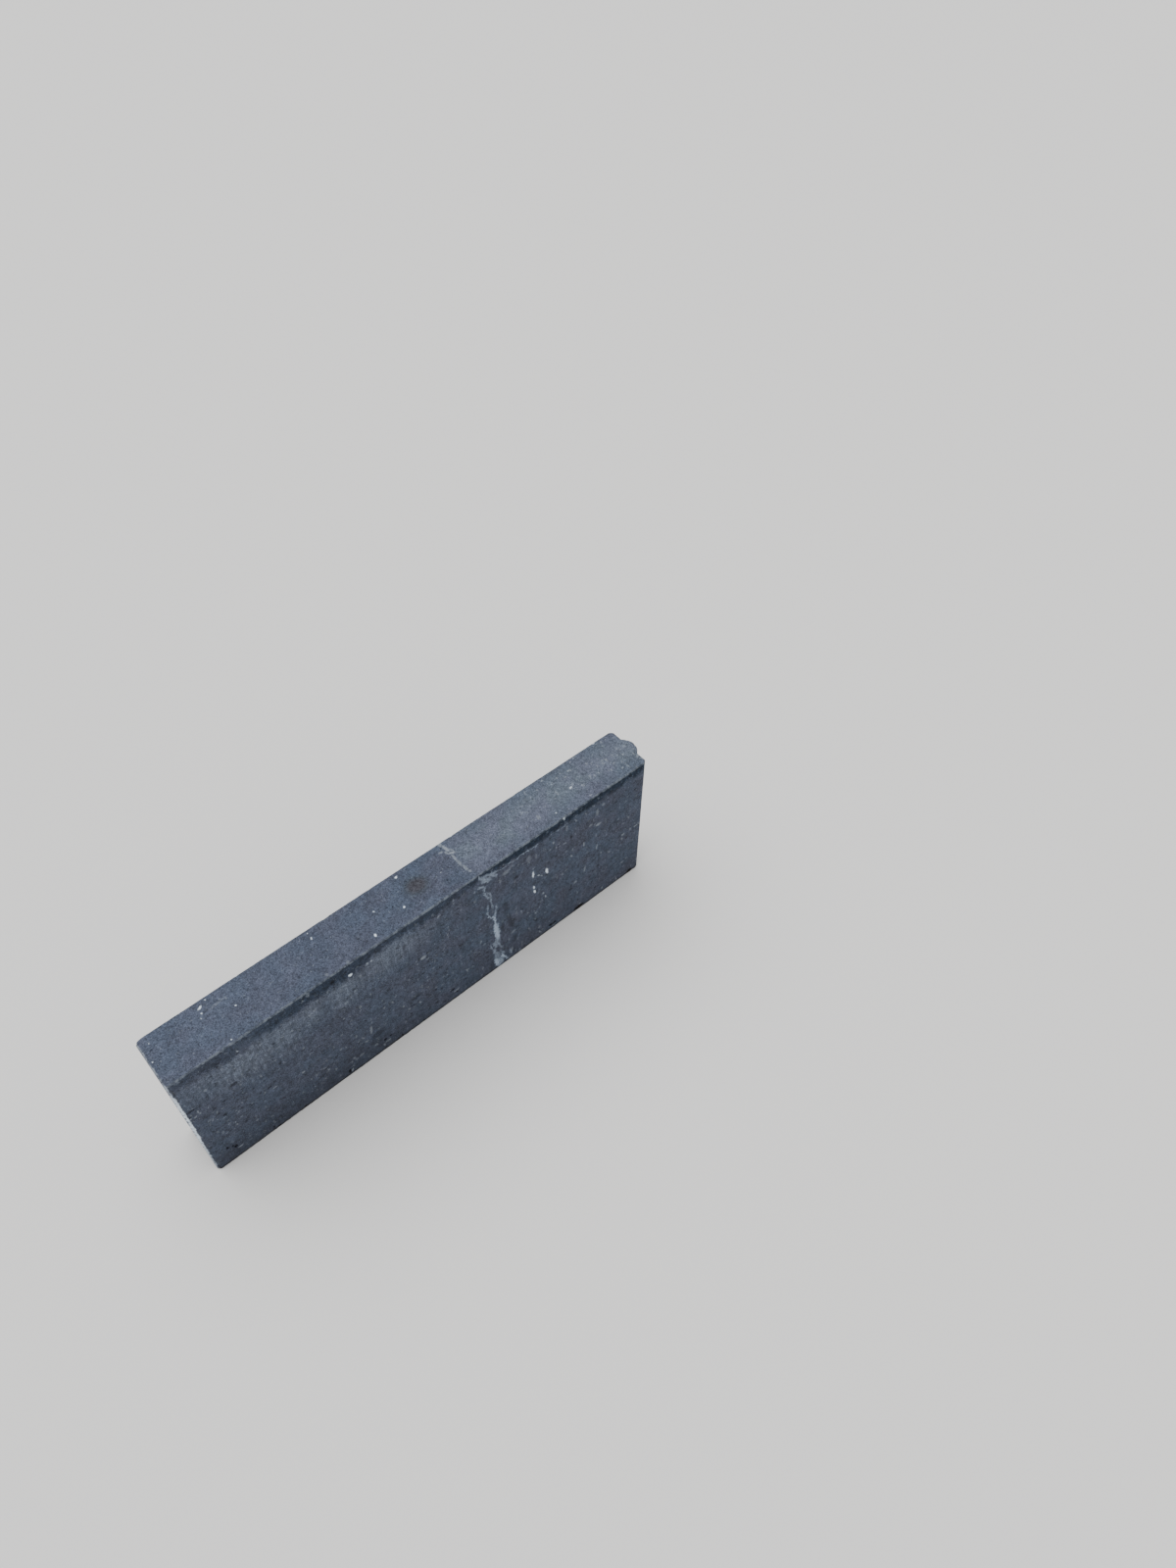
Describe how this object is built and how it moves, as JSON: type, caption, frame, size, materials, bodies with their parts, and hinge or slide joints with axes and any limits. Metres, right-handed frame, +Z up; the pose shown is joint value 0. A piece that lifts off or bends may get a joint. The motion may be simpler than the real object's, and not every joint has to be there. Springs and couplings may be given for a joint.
{
  "type": "kerb stone",
  "caption": "Thin concrete edging kerb stone, dark grey, standing on edge, with a plain end and a rounded full-height tongue that seats in the next stone's groove.",
  "frame": {"origin": "centre of the bottom of the stone's box, tongue included, on the surface that it stands on", "axes": "+X along the stone towards the tongue, +Y from the front face to the back face, +Z up"},
  "size_m": [0.59, 0.06, 0.2],
  "materials": {
    "concrete": "fine cast concrete, through-coloured anthracite, weathered"
  },
  "bodies": {
    "root": {"kerb_stone": "concrete"}
  },
  "joints": []
}
